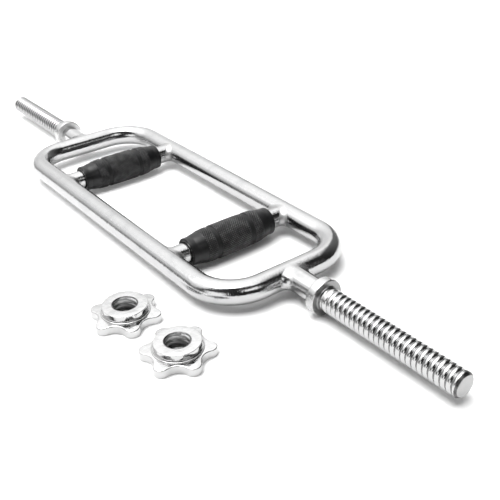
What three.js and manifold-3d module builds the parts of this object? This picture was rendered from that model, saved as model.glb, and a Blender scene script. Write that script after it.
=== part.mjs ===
// A chrome triceps bar: a rounded frame of round steel bar with two rubber-gripped crossbars inside it,
// a threaded rod standing out of each end, and the two star collars that screw onto the rods.
// Millimetres. +X runs along the bar, +Z is up. The bar lies level on its grips, the collars beside it.
import * as THREE from 'three';
import { mergeVertices } from 'three/addons/utils/BufferGeometryUtils.js';
import Module from 'manifold-3d';

const wasm = await Module();
wasm.setup();

// Frame of round bar
const frameLength = 458;
const frameWidth = 183;
const frameBarDiameter = 25.4;
const cornerRadius = 44;
const bowLegLength = 28;

// Crossbars and their rubber grips
const crossbarDiameter = 22.2;
const crossbarInset = 112;
const gripEndRoom = 13.4;
const gripShift = 2.9;
const gripMiddleDiameter = 37;
const gripEndDiameter = 29.6;
const gripEdgeRadius = 1.6;
const gripRingDepth = 1;
const gripEndDepth = 0.4;
const gripStepWidth = 0.6;

// Threaded rods
const rodDiameter = 24.5;
const neckLength = 32.8;
const sleeveLength = 160;
const shankLength = 3;
const threadPitch = 6;
const threadDepth = 1.7;
const threadRunIn = 16;
const rodChamfer = 1.6;

// Flange rings
const flangeDiameter = 36.8;
const flangeWidth = 10;
const flangeChamfer = 1;

// Weld fillets
const weldLeg = 5;
const weldSkin = 1;

// Star collars, and where they lie beside the bar
const starDiameter = 69.8;
const starHollowDiameter = 52.4;
const lobeRadius = 7.6;
const starThickness = 9;
const starEdge = 1.2;
const hubDiameter = 43;
const hubHeight = 7.2;
const hubEdge = 1.1;
const hubLipWidth = 1.8;
const hubLipHeight = 1;
const boreChamfer = 1.2;
const nearCollarX = 233.7;
const nearCollarY = -140.5;
const nearCollarTurn = 55.6;
const farCollarX = 154.4;
const farCollarY = -147.8;
const farCollarTurn = 42.4;

// Clearances
const fitGap = 0.3;
const threadClearance = 0.35;
const cutOverrun = 2;
const mergeDistance = 0.0001;

// Counts of facets, and shares of the sizes above
const barFacets = 24;
const cornerSteps = 8;
const threadColumns = 14;
const lobeCount = 6;
const lobeSteps = 4;
const hollowSteps = 4;
const gripSteps = 11;
const threadShares = [0, 0.34, 0.5, 0.84];
const threadHeightShares = [1, 1, 0, 0];
const gripBandShares = [0.36, 0.46, 0.67];
const gripTaperShare = 0.87;
const weldShares = [[0, 1], [0.55, 0.4], [1, 0]];
const weldBaseShare = 0.25;

const frameBarRadius = frameBarDiameter / 2;
const crossbarRadius = crossbarDiameter / 2;
const rodRadius = rodDiameter / 2;
const flangeRadius = flangeDiameter / 2;
const endBarX = frameLength / 2 - frameBarRadius;
const railY = frameWidth / 2 - frameBarRadius;
const bendStartX = endBarX - cornerRadius;
const railEndX = bendStartX - bowLegLength;
const flangeBackX = frameLength / 2 + neckLength;
const flangeFrontX = flangeBackX + flangeWidth;
const crossbarX = frameLength / 2 - crossbarInset;
const gripLength = frameWidth - 2 * frameBarDiameter - 2 * gripEndRoom;
const restHeight = Math.max(gripMiddleDiameter, flangeDiameter) / 2;

const chrome = { color: 0xd4d6d8, roughness: 0.12, metalness: 1 };
const plating = { color: 0xdcdcda, roughness: 0.2, metalness: 1 };
const rubber = { color: 0x1c1c1d, roughness: 0.62, metalness: 0 };

// Turns a closed geometry into a solid that can be cut and joined.
function solidOf(geometry) {
  const bare = geometry.clone();
  bare.deleteAttribute('normal');
  bare.deleteAttribute('uv');
  const merged = mergeVertices(bare, mergeDistance);
  const index = merged.index.array;
  const kept = [];
  for (let i = 0; i < index.length; i += 3) {
    const [a, b, c] = [index[i], index[i + 1], index[i + 2]];
    if (a !== b && b !== c && c !== a) kept.push(a, b, c);
  }
  const vertProperties = new Float32Array(merged.attributes.position.array);
  return new wasm.Manifold(new wasm.Mesh({ numProp: 3, vertProperties, triVerts: new Uint32Array(kept) }));
}

// Turns a solid back into a geometry.
function geometryOf(solid) {
  const mesh = solid.getMesh();
  const geometry = new THREE.BufferGeometry();
  geometry.setAttribute('position', new THREE.BufferAttribute(new Float32Array(mesh.vertProperties), 3));
  geometry.setIndex(new THREE.BufferAttribute(new Uint32Array(mesh.triVerts), 1));
  geometry.computeVertexNormals();
  return geometry;
}

// A turned body about Y, from its profile of radius and height.
function latheOf(profile) {
  return new THREE.LatheGeometry(profile.map(([radius, y]) => new THREE.Vector2(radius, y)), barFacets);
}

// Skins rings of points into one closed body with a flat cap at each end.
function skinned(rings) {
  const count = rings[0].length;
  const points = rings.flat();
  const centres = [rings[0], rings[rings.length - 1]].map((ring) => {
    const centre = new THREE.Vector3();
    ring.forEach((point) => centre.add(point));
    return centre.divideScalar(count);
  });
  const first = points.length;
  const last = first + 1;
  points.push(...centres);
  const index = [];
  for (let j = 0; j < count; j += 1) {
    const k = (j + 1) % count;
    const top = (rings.length - 1) * count;
    index.push(first, k, j, last, top + j, top + k);
    for (let i = 0; i < rings.length - 1; i += 1) {
      const a = i * count + j;
      const b = i * count + k;
      index.push(a, b, b + count, a, b + count, a + count);
    }
  }
  const geometry = new THREE.BufferGeometry().setFromPoints(points);
  geometry.setIndex(index);
  geometry.computeVertexNormals();
  return geometry;
}

// A round bar along a flat route of stations, each a point and the direction there.
function barAlong(stations, radius) {
  const up = new THREE.Vector3(0, 0, 1);
  const rings = stations.map(({ point, direction }) => {
    const side = new THREE.Vector3().crossVectors(up, direction);
    return Array.from({ length: barFacets }, (_, j) => {
      const angle = (2 * Math.PI * (j + 0.5)) / barFacets;
      const rim = point.clone().addScaledVector(side, radius * Math.cos(angle));
      return rim.addScaledVector(up, radius * Math.sin(angle));
    });
  });
  return skinned(rings);
}

function straightBar(from, to, radius) {
  const direction = new THREE.Vector3().subVectors(to, from).normalize();
  return barAlong([{ point: from, direction }, { point: to, direction }], radius);
}

// One end of the frame: a leg, a bend, the end bar, a bend and a leg.
function endBow() {
  const legX = railEndX + fitGap;
  const stations = [{ point: new THREE.Vector3(legX, -railY, 0), direction: new THREE.Vector3(1, 0, 0) }];
  for (const side of [-1, 1]) {
    const centreY = side * (railY - cornerRadius);
    for (let i = 0; i <= cornerSteps; i += 1) {
      const turned = (Math.PI / 2) * (i / cornerSteps);
      const angle = side < 0 ? turned - Math.PI / 2 : turned;
      const direction = new THREE.Vector3(-Math.sin(angle), Math.cos(angle), 0);
      const outward = new THREE.Vector3(cornerRadius * Math.cos(angle), cornerRadius * Math.sin(angle), 0);
      stations.push({ point: outward.add(new THREE.Vector3(bendStartX, centreY, 0)), direction });
    }
  }
  stations.push({ point: new THREE.Vector3(legX, railY, 0), direction: new THREE.Vector3(-1, 0, 0) });
  return barAlong(stations, frameBarRadius);
}

// The space that the rail on one side takes, with the fit gap round it.
function railSpace(side) {
  const y = side * railY;
  const from = new THREE.Vector3(-endBarX, y, 0);
  return solidOf(straightBar(from, new THREE.Vector3(endBarX, y, 0), frameBarRadius + fitGap));
}

// The space that the near end bar takes, with the fit gap round it.
function endBarSpace() {
  const from = new THREE.Vector3(endBarX, -railY, 0);
  return solidOf(straightBar(from, new THREE.Vector3(endBarX, railY, 0), frameBarRadius + fitGap));
}

function crossbar() {
  const from = new THREE.Vector3(0, -railY, 0);
  const bar = solidOf(straightBar(from, new THREE.Vector3(0, railY, 0), crossbarRadius));
  return geometryOf(bar.subtract(railSpace(-1)).subtract(railSpace(1)));
}

// The barrel shape of a grip along its length: nearly straight in the middle, then tapering to plain ends.
function gripRadiusAt(y) {
  const share = Math.min(1, Math.abs(2 * y) / gripLength / gripTaperShare);
  return (gripEndDiameter + (gripMiddleDiameter - gripEndDiameter) * (1 - share ** 4)) / 2;
}

// How far the surface of a grip lies under its barrel shape, at a share of its half length:
// a plain ring on each side of the middle band, then a raised band, then the plain end.
function gripReliefAt(share) {
  const [ringStart, ringEnd, bandEnd] = gripBandShares;
  if (share > bandEnd) return gripEndDepth;
  return share > ringStart && share < ringEnd ? gripRingDepth : 0;
}

// A moulded rubber barrel round its crossbar.
function grip() {
  const bore = crossbarRadius + fitGap;
  const half = gripLength / 2;
  const places = [];
  for (let i = 0; i <= gripSteps; i += 1) places.push((half - gripEdgeRadius) * ((2 * i) / gripSteps - 1));
  for (const share of gripBandShares) {
    const [inner, outer] = [share * half - gripStepWidth / 2, share * half + gripStepWidth / 2];
    places.push(-outer, -inner, inner, outer);
  }
  places.sort((a, b) => a - b);
  const outline = places.map((y) => [gripRadiusAt(y) - gripReliefAt(Math.abs(y) / half), y]);
  const end = gripRadiusAt(half) - gripEndDepth - gripEdgeRadius;
  return latheOf([[bore, -half], [end, -half], ...outline, [end, half], [bore, half], [bore, -half]]);
}

// A bar along +X, plain for its first length and then threaded to its end, with a right-hand thread
// whose grooves deepen over the run-in and whose end is chamfered.
function threadedBar(plainLength, threadLength, crestRadius, runIn, chamfer) {
  const rows = threadShares.length;
  const turns = Math.ceil(threadLength / threadPitch) + 1;
  const span = rows * (turns + 2);
  const grid = [];
  for (let j = 0; j < threadColumns; j += 1) {
    const angle = (2 * Math.PI * j) / threadColumns;
    const column = [];
    for (let row = 0; row < span; row += 1) {
      const turn = Math.floor(row / rows) - 1;
      const place = threadPitch * (turn + threadShares[row % rows] + j / threadColumns);
      const s = THREE.MathUtils.clamp(place, 0, threadLength);
      const fade = runIn > 0 ? Math.min(1, s / runIn) : 1;
      const groove = threadDepth * (1 - threadHeightShares[row % rows]) * fade;
      const limit = crestRadius - Math.max(0, chamfer - (threadLength - s));
      const inside = s > 0 && s < threadLength;
      const radius = Math.min(limit, crestRadius - (inside ? groove : 0));
      column.push(new THREE.Vector3(plainLength + s, radius * Math.cos(angle), radius * Math.sin(angle)));
    }
    grid.push(column);
  }
  const points = grid.flat();
  const at = (j, row) => (j < threadColumns ? j * span + row : row + rows);
  const index = [];
  for (let j = 0; j < threadColumns; j += 1) {
    const lastRow = j < threadColumns - 1 ? span - 1 : span - 1 - rows;
    for (let row = 0; row < lastRow; row += 1) {
      const [a, b] = [at(j, row), at(j, row + 1)];
      const [c, d] = [at(j + 1, row), at(j + 1, row + 1)];
      index.push(a, d, b, a, c, d);
    }
  }
  const root = points.length;
  const tip = root + threadColumns;
  for (let j = 0; j < threadColumns; j += 1) {
    const angle = (2 * Math.PI * j) / threadColumns;
    points.push(new THREE.Vector3(0, crestRadius * Math.cos(angle), crestRadius * Math.sin(angle)));
  }
  points.push(new THREE.Vector3(plainLength + threadLength, 0, 0), new THREE.Vector3(0, 0, 0));
  for (let j = 0; j < threadColumns; j += 1) {
    const k = (j + 1) % threadColumns;
    index.push(root + j, k * span, j * span, root + j, root + k, k * span);
    index.push(tip + 1, root + k, root + j, tip, j * span + span - 1, k * span + span - 1);
  }
  const geometry = new THREE.BufferGeometry().setFromPoints(points);
  geometry.setIndex(index);
  return geometry;
}

// A rod: its neck is shaped to the end bar, and its thread starts past the flange.
function rod() {
  const plainLength = flangeFrontX + shankLength - endBarX;
  const bar = threadedBar(plainLength, sleeveLength - shankLength, rodRadius, threadRunIn, rodChamfer);
  bar.translate(endBarX, 0, 0);
  return geometryOf(solidOf(bar).subtract(endBarSpace()));
}

// A ring with chamfered outer edges, round its rod.
function flange() {
  const bore = rodRadius + fitGap;
  const half = flangeWidth / 2;
  const inner = half - flangeChamfer;
  const outer = flangeRadius - flangeChamfer;
  const profile = [
    [bore, -half], [outer, -half], [flangeRadius, -inner], [flangeRadius, inner],
    [outer, half], [bore, half], [bore, -half],
  ];
  const geometry = latheOf(profile);
  geometry.rotateZ(-Math.PI / 2);
  return geometry;
}

// The flare of a weld along +Y, round a bar of this radius that stands on the middle of a frame bar
// lying along X. The joint's own bars are cut out of it.
function weldFlare(barRadius) {
  const skinRadius = barRadius + fitGap + weldSkin;
  const footRadius = barRadius + fitGap + weldLeg;
  const base = frameBarRadius * weldBaseShare;
  const profile = weldShares.map(([along, flare]) => {
    const height = frameBarRadius + weldLeg * (2 * along - 1);
    return new THREE.Vector2(skinRadius + (footRadius - skinRadius) * flare, height);
  });
  const foot = [new THREE.Vector2(0, base), new THREE.Vector2(footRadius, base)];
  const top = new THREE.Vector2(0, frameBarRadius + weldLeg);
  const flare = new THREE.LatheGeometry([...foot, ...profile, top], barFacets);
  flare.scale(1, 1, Math.max(frameBarRadius, skinRadius) / footRadius);
  return flare;
}

// The outline of a star: round lobes with a hollow arc between each two.
function starShape() {
  const lobeCentre = starDiameter / 2 - lobeRadius;
  const hollow = starHollowDiameter / 2;
  const step = Math.PI / lobeCount;
  const across = 2 * lobeCentre * Math.cos(step);
  const rise = lobeCentre * lobeCentre + hollow * hollow - across * hollow - lobeRadius * lobeRadius;
  const hollowRadius = rise / (2 * lobeRadius - 2 * hollow + across);
  const hollowCentre = hollow + hollowRadius;
  const gapX = hollowCentre * Math.cos(step) - lobeCentre;
  const meet = Math.atan2(hollowCentre * Math.sin(step), gapX);
  const points = [];
  for (let i = 0; i < lobeCount; i += 1) {
    const turn = 2 * step * i;
    for (let j = -lobeSteps; j <= lobeSteps; j += 1) {
      const angle = turn + (meet * j) / lobeSteps;
      const x = lobeCentre * Math.cos(turn) + lobeRadius * Math.cos(angle);
      const y = lobeCentre * Math.sin(turn) + lobeRadius * Math.sin(angle);
      points.push(new THREE.Vector2(x, y));
    }
    const half = meet - step;
    for (let j = 1 - hollowSteps; j < hollowSteps; j += 1) {
      const angle = turn + step + Math.PI - (half * j) / hollowSteps;
      const x = hollowCentre * Math.cos(turn + step) + hollowRadius * Math.cos(angle);
      const y = hollowCentre * Math.sin(turn + step) + hollowRadius * Math.sin(angle);
      points.push(new THREE.Vector2(x, y));
    }
  }
  return new THREE.Shape(points);
}

// A star collar standing on z = 0: the star, a hub with a lip on top of it, and a threaded bore.
function collar() {
  const body = new THREE.ExtrudeGeometry(starShape(), {
    depth: starThickness - 2 * starEdge,
    steps: 1,
    bevelThickness: starEdge,
    bevelSize: starEdge,
    bevelOffset: -starEdge,
    bevelSegments: 2,
  });
  body.translate(0, 0, starEdge);
  const top = starThickness + hubHeight;
  const hubRadius = hubDiameter / 2;
  const lipRadius = hubRadius + hubLipWidth;
  const hubProfile = [
    [0, starThickness / 2], [lipRadius, starThickness / 2], [lipRadius, starThickness + hubLipHeight],
    [hubRadius, starThickness + hubLipHeight], [hubRadius, top - hubEdge], [hubRadius - hubEdge, top],
    [0, top],
  ];
  const hub = latheOf(hubProfile);
  hub.rotateX(Math.PI / 2);
  const bore = threadedBar(cutOverrun, top + 2 * cutOverrun, rodRadius + threadClearance, 0, 0);
  bore.rotateY(-Math.PI / 2);
  bore.translate(0, 0, -2 * cutOverrun);
  const mouth = rodRadius + threadClearance + boreChamfer;
  const sinkProfile = [
    [0, top - 2 * boreChamfer], [mouth - 2 * boreChamfer, top - 2 * boreChamfer],
    [mouth, top], [mouth, top + cutOverrun], [0, top + cutOverrun],
  ];
  const countersink = latheOf(sinkProfile);
  countersink.rotateX(Math.PI / 2);
  return geometryOf(solidOf(body).add(solidOf(hub)).subtract(solidOf(bore)).subtract(solidOf(countersink)));
}

function piece(name, geometry, finish) {
  const mesh = new THREE.Mesh(geometry, new THREE.MeshStandardMaterial(finish));
  mesh.name = name;
  return mesh;
}

// The frame, crossbars, grips, rods, flanges and welds of the bar, along +X about its own axis.
function barGroup() {
  const group = new THREE.Group();
  const railSpaces = { left: railSpace(-1), right: railSpace(1) };
  for (const [side, y] of [['left', -railY], ['right', railY]]) {
    const [from, to] = [new THREE.Vector3(-railEndX, y, 0), new THREE.Vector3(railEndX, y, 0)];
    group.add(piece(`${side}_rail`, straightBar(from, to, frameBarRadius), chrome));
  }
  const [leftPoint, rightPoint] = [new THREE.Vector3(0, -railY, 0), new THREE.Vector3(0, railY, 0)];
  const crossbarSpace = solidOf(straightBar(leftPoint, rightPoint, crossbarRadius + fitGap));
  const [rodStart, rodStop] = [new THREE.Vector3(0, 0, 0), new THREE.Vector3(flangeBackX, 0, 0)];
  const rodSpace = solidOf(straightBar(rodStart, rodStop, rodRadius + fitGap));
  for (const [end, direction] of [['near', 1], ['far', -1]]) {
    const half = new THREE.Group();
    half.rotation.z = direction > 0 ? 0 : Math.PI;
    half.add(piece(`${end}_end_bow`, endBow(), chrome));
    half.add(piece(`${end}_threaded_rod`, rod(), chrome));
    const ring = piece(`${end}_flange`, flange(), chrome);
    ring.position.x = (flangeBackX + flangeFrontX) / 2;
    half.add(ring);
    const neckFlare = weldFlare(rodRadius);
    neckFlare.rotateZ(-Math.PI / 2);
    neckFlare.translate(endBarX, 0, 0);
    const neckWeld = solidOf(neckFlare).subtract(endBarSpace()).subtract(rodSpace);
    half.add(piece(`${end}_neck_weld`, geometryOf(neckWeld), chrome));
    group.add(half);

    const handle = new THREE.Group();
    handle.position.x = direction * crossbarX;
    handle.add(piece(`${end}_crossbar`, crossbar(), chrome));
    const barrel = piece(`${end}_grip`, grip(), rubber);
    barrel.position.y = -gripShift;
    handle.add(barrel);
    for (const [side, sign] of [['left', -1], ['right', 1]]) {
      const flare = weldFlare(crossbarRadius);
      if (sign > 0) flare.rotateZ(Math.PI);
      flare.translate(0, sign * railY, 0);
      const crossbarWeld = solidOf(flare).subtract(railSpaces[side]).subtract(crossbarSpace);
      handle.add(piece(`${end}_crossbar_${side}_weld`, geometryOf(crossbarWeld), chrome));
    }
    group.add(handle);
  }
  return group;
}

const layout = new THREE.Group();
const bar = barGroup();
bar.position.z = restHeight;
layout.add(bar);
const collarPlaces = [
  ['near_collar', nearCollarX, nearCollarY, nearCollarTurn],
  ['far_collar', farCollarX, farCollarY, farCollarTurn],
];
for (const [name, x, y, turn] of collarPlaces) {
  const loose = piece(name, collar(), plating);
  loose.position.set(x, y, 0);
  loose.rotation.z = THREE.MathUtils.degToRad(turn);
  layout.add(loose);
}

// The origin is the middle of the underside of the whole layout.
layout.updateMatrixWorld(true);
const bounds = new THREE.Box3().setFromObject(layout, true);
const middle = bounds.getCenter(new THREE.Vector3());
layout.position.set(-middle.x, -middle.y, -bounds.min.z);

export default layout;
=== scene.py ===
import math

import bpy
import bmesh
import numpy as np
from mathutils import Matrix, Vector


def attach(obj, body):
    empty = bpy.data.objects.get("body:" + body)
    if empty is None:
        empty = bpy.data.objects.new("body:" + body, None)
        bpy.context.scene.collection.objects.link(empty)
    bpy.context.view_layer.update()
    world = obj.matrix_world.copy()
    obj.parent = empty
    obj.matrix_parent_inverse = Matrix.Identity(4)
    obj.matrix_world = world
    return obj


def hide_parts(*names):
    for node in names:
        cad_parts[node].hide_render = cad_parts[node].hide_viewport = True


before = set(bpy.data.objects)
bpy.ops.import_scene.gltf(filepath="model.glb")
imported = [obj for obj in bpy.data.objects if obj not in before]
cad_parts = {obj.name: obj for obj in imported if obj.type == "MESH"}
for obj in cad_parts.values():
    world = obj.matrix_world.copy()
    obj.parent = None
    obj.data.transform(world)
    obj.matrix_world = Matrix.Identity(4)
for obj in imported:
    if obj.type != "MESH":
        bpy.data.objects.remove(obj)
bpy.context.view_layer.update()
MM = 0.001
scene = bpy.context.scene


# Driving sizes in millimetres, as the CAD model has them
FRAME_LENGTH, FRAME_WIDTH = 458, 183
FRAME_BAR, CROSSBAR, ROD, FLANGE = 25.4, 22.2, 24.5, 36.8
CORNER_RADIUS, BOW_LEG, BUTT_GAP = 44, 28, 0.3
CROSSBAR_INSET = 112
NECK_LENGTH, FLANGE_WIDTH, SHANK_LENGTH, SLEEVE_LENGTH = 32.8, 10, 3, 160

# The smooth shapes lie a hair inside the faceted solids, and a hair apart where two of them meet
BAR_SKIN, THIN_SKIN = 0.12, 0.05
PIECE_GAP = 0.02

# Points that lie closer than the first distance are merged, and edges shorter than the second go
MERGE_DISTANCE, SLIVER = 0.002, 0.001

# Edges sharper than these angles, in degrees, are shaded sharp
STEEL_CREASE, GRIP_CREASE, COLLAR_CREASE = 38, 60, 42

# Rows of a quarter round, and the degrees at which a hollow round starts
ROUND_ROWS, HOLLOW_START = 7, 12

# Frame, worked out from the driving sizes; the rails fill the CAD's gaps at the butt welds
BAR_RADIUS = FRAME_BAR / 2 - BAR_SKIN
CROSSBAR_RADIUS = CROSSBAR / 2 - THIN_SKIN
END_BAR_X = (FRAME_LENGTH - FRAME_BAR) / 2
RAIL_Y = (FRAME_WIDTH - FRAME_BAR) / 2
RAIL_END_X = END_BAR_X - CORNER_RADIUS - BOW_LEG + BUTT_GAP
CROSSBAR_X = FRAME_LENGTH / 2 - CROSSBAR_INSET
BAR_COLUMNS, BAR_ROWS = 96, 25
BEND_STEPS, LEG_ROWS, END_BAR_ROWS = 28, 5, 9

# Weld beads, whose edge wanders in waves of (count round the bead, height, phase)
CROSSBAR_WELD_LEGS = {-1: 4.6, 1: 6.0}
NECK_WELD_LEG = 8.5
WAVE_SHARE = 0.008
WAVES = [(7, 1, 0.6), (11, 0.7, 2.1), (17, 0.5, 0)]
BEAD_COLUMNS, BEAD_STEPS = 144, 12
BEAD_RISE_SHARE, BEAD_SIDE_SHARE, BEAD_BULGE_SHARE = 1.1, 0.35, 0.18
BEAD_INNER_SHARE, BEAD_UNDER_SHARE = 0.97, 0.9
BEAD_SINK = 0.4
TOE_LIMIT = 1.45

# Threaded rods
ROD_RADIUS = ROD / 2
FLANGE_BACK = FRAME_LENGTH / 2 + NECK_LENGTH
FLANGE_FRONT = FLANGE_BACK + FLANGE_WIDTH
SHANK_END = FLANGE_FRONT + SHANK_LENGTH
ROD_END = FLANGE_FRONT + SLEEVE_LENGTH
ROD_COLUMNS, THREAD_STEPS = 96, 24
THREAD_PITCH, THREAD_DEPTH = 6, 1.7
RUN_IN, RUN_IN_CURVE = 16, 1.2
RUN_OUT, RUN_OUT_PLAIN = 3, 1.2
CREST_PLACE_SHARE, CREST_HALF_SHARE, CREST_CURVE = 0.27, 0.44, 2.6
SEAM_DEPTH_SHARE, SEAM_WIDTH_SHARE = 0.08, 0.055
ROD_CHAMFER, CHAMFER_LENGTH = 2.3, 2.6
CHAMFER_PAINT, TIP_PAINT = 2.2, 0.3
TIP_SHARES = [1, 0.82, 0.4, 0.06]
TIP_DISH = 0.25

# Flange rings
FLANGE_RADIUS = FLANGE / 2 - THIN_SKIN
FLANGE_EDGE, FLANGE_FILLET = 1.2, 1.3
FLANGE_SINK, FILLET_TOE, BACK_BAND = 0.2, 0.05, 3.2
# Widths in from the front and back faces that get the painted-reflection finishes
FRONT_PAINT, BACK_PAINT = 0.15, 0.2
FLANGE_COLUMNS = 144

# Rubber grips, a little longer than the CAD's and set less far to the left of the bar's middle
GRIP_LENGTH = 106.2
GRIP_SHIFTS = {"near_grip": 0.9, "far_grip": 1.2}
GRIP_MIDDLE_RADIUS, GRIP_END_RADIUS = 18.5, 15.7
GRIP_TAPER, GRIP_CURVE = 45.9, 4
RING_SHARES, RING_SOFT_SHARE, RING_DEPTH = (0.36, 0.46), 0.014, 0.95
CUFF_SHARE, CUFF_SOFT_SHARE, CUFF_DEPTH = 0.67, 0.016, 0.45
HATCH_SHARES, HATCH_SOFT_SHARE, HATCH_DEPTH = (0.35, 0.47, 0.66), 0.012, 0.6
HATCHES_AROUND, HATCH_STRETCH, GROOVE_SHARE = 42, 1.05, 0.5
# The rings' relief below 0 gives them part of the rubber's painted shade
RING_RELIEF = -0.2
GRIP_RIM, RIM_STEPS = 1.1, 7
GRIP_COLUMNS, GRIP_ROWS = 360, 330
RIM_FLAT, MOUTH_DEPTH, MOUTH_ROOM, BORE_START, BORE_SINK = 0.4, 0.2, 0.6, 1.2, 0.3

# Star collars, which lie beside the bar: place from the bar's middle, and turn in degrees
COLLARS = {
    "near_collar": (233.7, -140.5, 55.6),
    "far_collar": (154.4, -147.8, 42.4),
}
LOBES, LOBE_STEPS, HOLLOW_STEPS = 6, 22, 18
STAR_RADIUS, STAR_HOLLOW_RADIUS, LOBE_RADIUS = 34.8, 26.2, 7.6
STAR_THICKNESS, STAR_FALL = 9, 0.8
STAR_EDGE, STAR_FOOT_EDGE = 1.1, 0.5
STAR_FOOT_SHARES, STAR_TOP_SHARES = (0.35, 0.75), (0.2, 0.45, 0.75)
HUB_RADIUS, HUB_TOP, HUB_EDGE = 21.7, 16.2, 0.6
HUB_FOOT, HUB_TOP_BAND = 0.5, 17
LIP_RADIUS, LIP_BEAD, LIP_RISE = 23.0, 0.7, 0.3
LIP_TURN, LIP_ROWS = (-20, 160), 10
BORE_RADIUS, BORE_DEPTH, BORE_FOOT, BORE_FOOT_ROOM = 10.9, 1.5, 1.2, 2.2
BORE_MOUTH, MOUTH_DROP, MOUTH_STEP, MOUTH_EDGE = 12.6, 1.0, 0.2, 0.05
BORE_ROWS, MOUTH_ROWS, BORE_THREAD_TURN = 56, 8, 0.5

# The bar's axis: it lies on its grips, and the layout's middle is the origin
AXIS_Y, AXIS_Z = 45.32, GRIP_MIDDLE_RADIUS


def grid_faces(rows, columns, closed):
    """Quads over rings of points, whose rows also close on themselves when asked."""
    index = np.arange(rows * columns).reshape(rows, columns)
    after = np.roll(index, -1, axis=0)
    if not closed:
        index, after = index[:-1], after[:-1]
    quads = np.stack([index, np.roll(index, -1, axis=1), np.roll(after, -1, axis=1), after], axis=-1)
    return quads.reshape(-1, 4).tolist()


def bridge(first, second, columns):
    """Quads between two rings of points that start at the given indexes."""
    quads = []
    for j in range(columns):
        k = (j + 1) % columns
        quads.append([first + j, first + k, second + k, second + j])
    return quads


def piece(name, points, faces, finishes, body, nodes, crease=STEEL_CREASE, drawn=None, relief=None):
    """A piece of the part from points in millimetres, which stands for the named CAD nodes.
    The places drawn are where each point would be if the bar were straight along X."""
    mesh = bpy.data.meshes.new(name)
    mesh.from_pydata((np.asarray(points) * MM).tolist(), [], faces)
    places = mesh.attributes.new("drawn", "FLOAT_VECTOR", "POINT")
    places.data.foreach_set("vector", (np.asarray(points if drawn is None else drawn) * MM).ravel())
    if relief is not None:
        mesh.attributes.new("relief", "FLOAT", "POINT").data.foreach_set("value", relief)
    work = bmesh.new()
    work.from_mesh(mesh)
    bmesh.ops.remove_doubles(work, verts=work.verts, dist=MERGE_DISTANCE * MM)
    bmesh.ops.dissolve_degenerate(work, edges=work.edges, dist=SLIVER * MM)
    bmesh.ops.recalc_face_normals(work, faces=work.faces)
    work.to_mesh(mesh)
    work.free()
    mesh.shade_smooth()
    mesh.set_sharp_from_angle(angle=math.radians(crease))
    for finish in finishes:
        mesh.materials.append(finish)
    shape = bpy.data.objects.new(name, mesh)
    scene.collection.objects.link(shape)
    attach(shape, body)
    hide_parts(*nodes)
    return shape


def capped(rings):
    """Points and faces of a closed body from open rings, with a flat cap on each end."""
    rows, columns = rings.shape[:2]
    faces = grid_faces(rows, columns, False)
    faces.append(list(range(columns))[::-1])
    faces.append(list(range((rows - 1) * columns, rows * columns)))
    return rings.reshape(-1, 3), faces


def looped(rings):
    """Points and faces of a closed body whose last ring joins its first."""
    rows, columns = rings.shape[:2]
    return rings.reshape(-1, 3), grid_faces(rows, columns, True)


def turned(points, centre, degrees):
    """Points turned about the vertical and moved to a centre."""
    angle = math.radians(degrees)
    x, y, z = np.moveaxis(np.asarray(points), -1, 0)
    flat = [x * math.cos(angle) - y * math.sin(angle), x * math.sin(angle) + y * math.cos(angle), z]
    return np.stack(flat, axis=-1) + np.asarray(centre)


def ring_angles(count):
    """Angles of the points of a full ring."""
    return np.arange(count) * (2 * math.pi / count)


def x_ring(x, radius, angle):
    """A ring of points about the X axis."""
    across = radius * np.cos(angle)
    return np.stack([np.broadcast_to(x, across.shape), across, radius * np.sin(angle)], axis=-1)


def y_ring(y, radius, angle):
    """A ring of points about the Y axis."""
    across = radius * np.cos(angle)
    return np.stack([across, np.broadcast_to(y, across.shape), radius * np.sin(angle)], axis=-1)


def smooth_step(edge, width, value):
    """Rises smoothly from 0 to 1 as a value passes an edge."""
    t = np.clip((value - edge) / width + 0.5, 0, 1)
    return t * t * (3 - 2 * t)


def bar_rings(stations):
    """Rings of the frame's bar along level stations, each a point and a direction."""
    rings, drawn = [], []
    angle = ring_angles(BAR_COLUMNS)
    side, rise = BAR_RADIUS * np.cos(angle), BAR_RADIUS * np.sin(angle)
    along, last = 0, stations[0][0]
    for (x, y), heading in stations:
        ring = [x - side * math.sin(heading), y + side * math.cos(heading), AXIS_Z + rise]
        rings.append(np.stack(ring, axis=-1))
        along += math.dist(last, (x, y))
        last = (x, y)
        drawn.append(np.stack([np.full(BAR_COLUMNS, along), side, rise], axis=-1))
    return np.array(rings), np.array(drawn).reshape(-1, 3)


def rail(name, side, material):
    """A straight bar along the frame's side."""
    xs = np.linspace(-RAIL_END_X, RAIL_END_X, BAR_ROWS)
    stations = [((x, AXIS_Y + side * RAIL_Y), 0) for x in xs]
    rings, drawn = bar_rings(stations)
    points, faces = capped(rings)
    return piece(name + "_tube", points, faces, [material], "bar", [name], drawn=drawn)


def end_bow(name, direction, material):
    """Two legs, two bends and the end bar, as one bent bar."""
    bend_x, bend_y = END_BAR_X - CORNER_RADIUS, RAIL_Y - CORNER_RADIUS
    leg = np.linspace(RAIL_END_X + PIECE_GAP, bend_x, LEG_ROWS)
    stations = [((x, -RAIL_Y), 0) for x in leg[:-1]]
    for side in (-1, 1):
        for turn in np.linspace(0, math.pi / 2, BEND_STEPS + 1):
            angle = turn - math.pi / 2 if side < 0 else turn
            x = bend_x + CORNER_RADIUS * math.cos(angle)
            y = side * bend_y + CORNER_RADIUS * math.sin(angle)
            stations.append(((x, y), angle + math.pi / 2))
        if side < 0:
            straight = np.linspace(-bend_y, bend_y, END_BAR_ROWS)[1:-1]
            stations += [((END_BAR_X, y), math.pi / 2) for y in straight]
    stations += [((x, RAIL_Y), math.pi) for x in leg[::-1][1:]]
    rings, drawn = bar_rings(stations)
    rings = turned(rings, (0, AXIS_Y, 0), 0 if direction > 0 else 180)
    points, faces = capped(rings)
    return piece(name + "_tube", points, faces, [material], "bar", [name], drawn=drawn)


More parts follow.
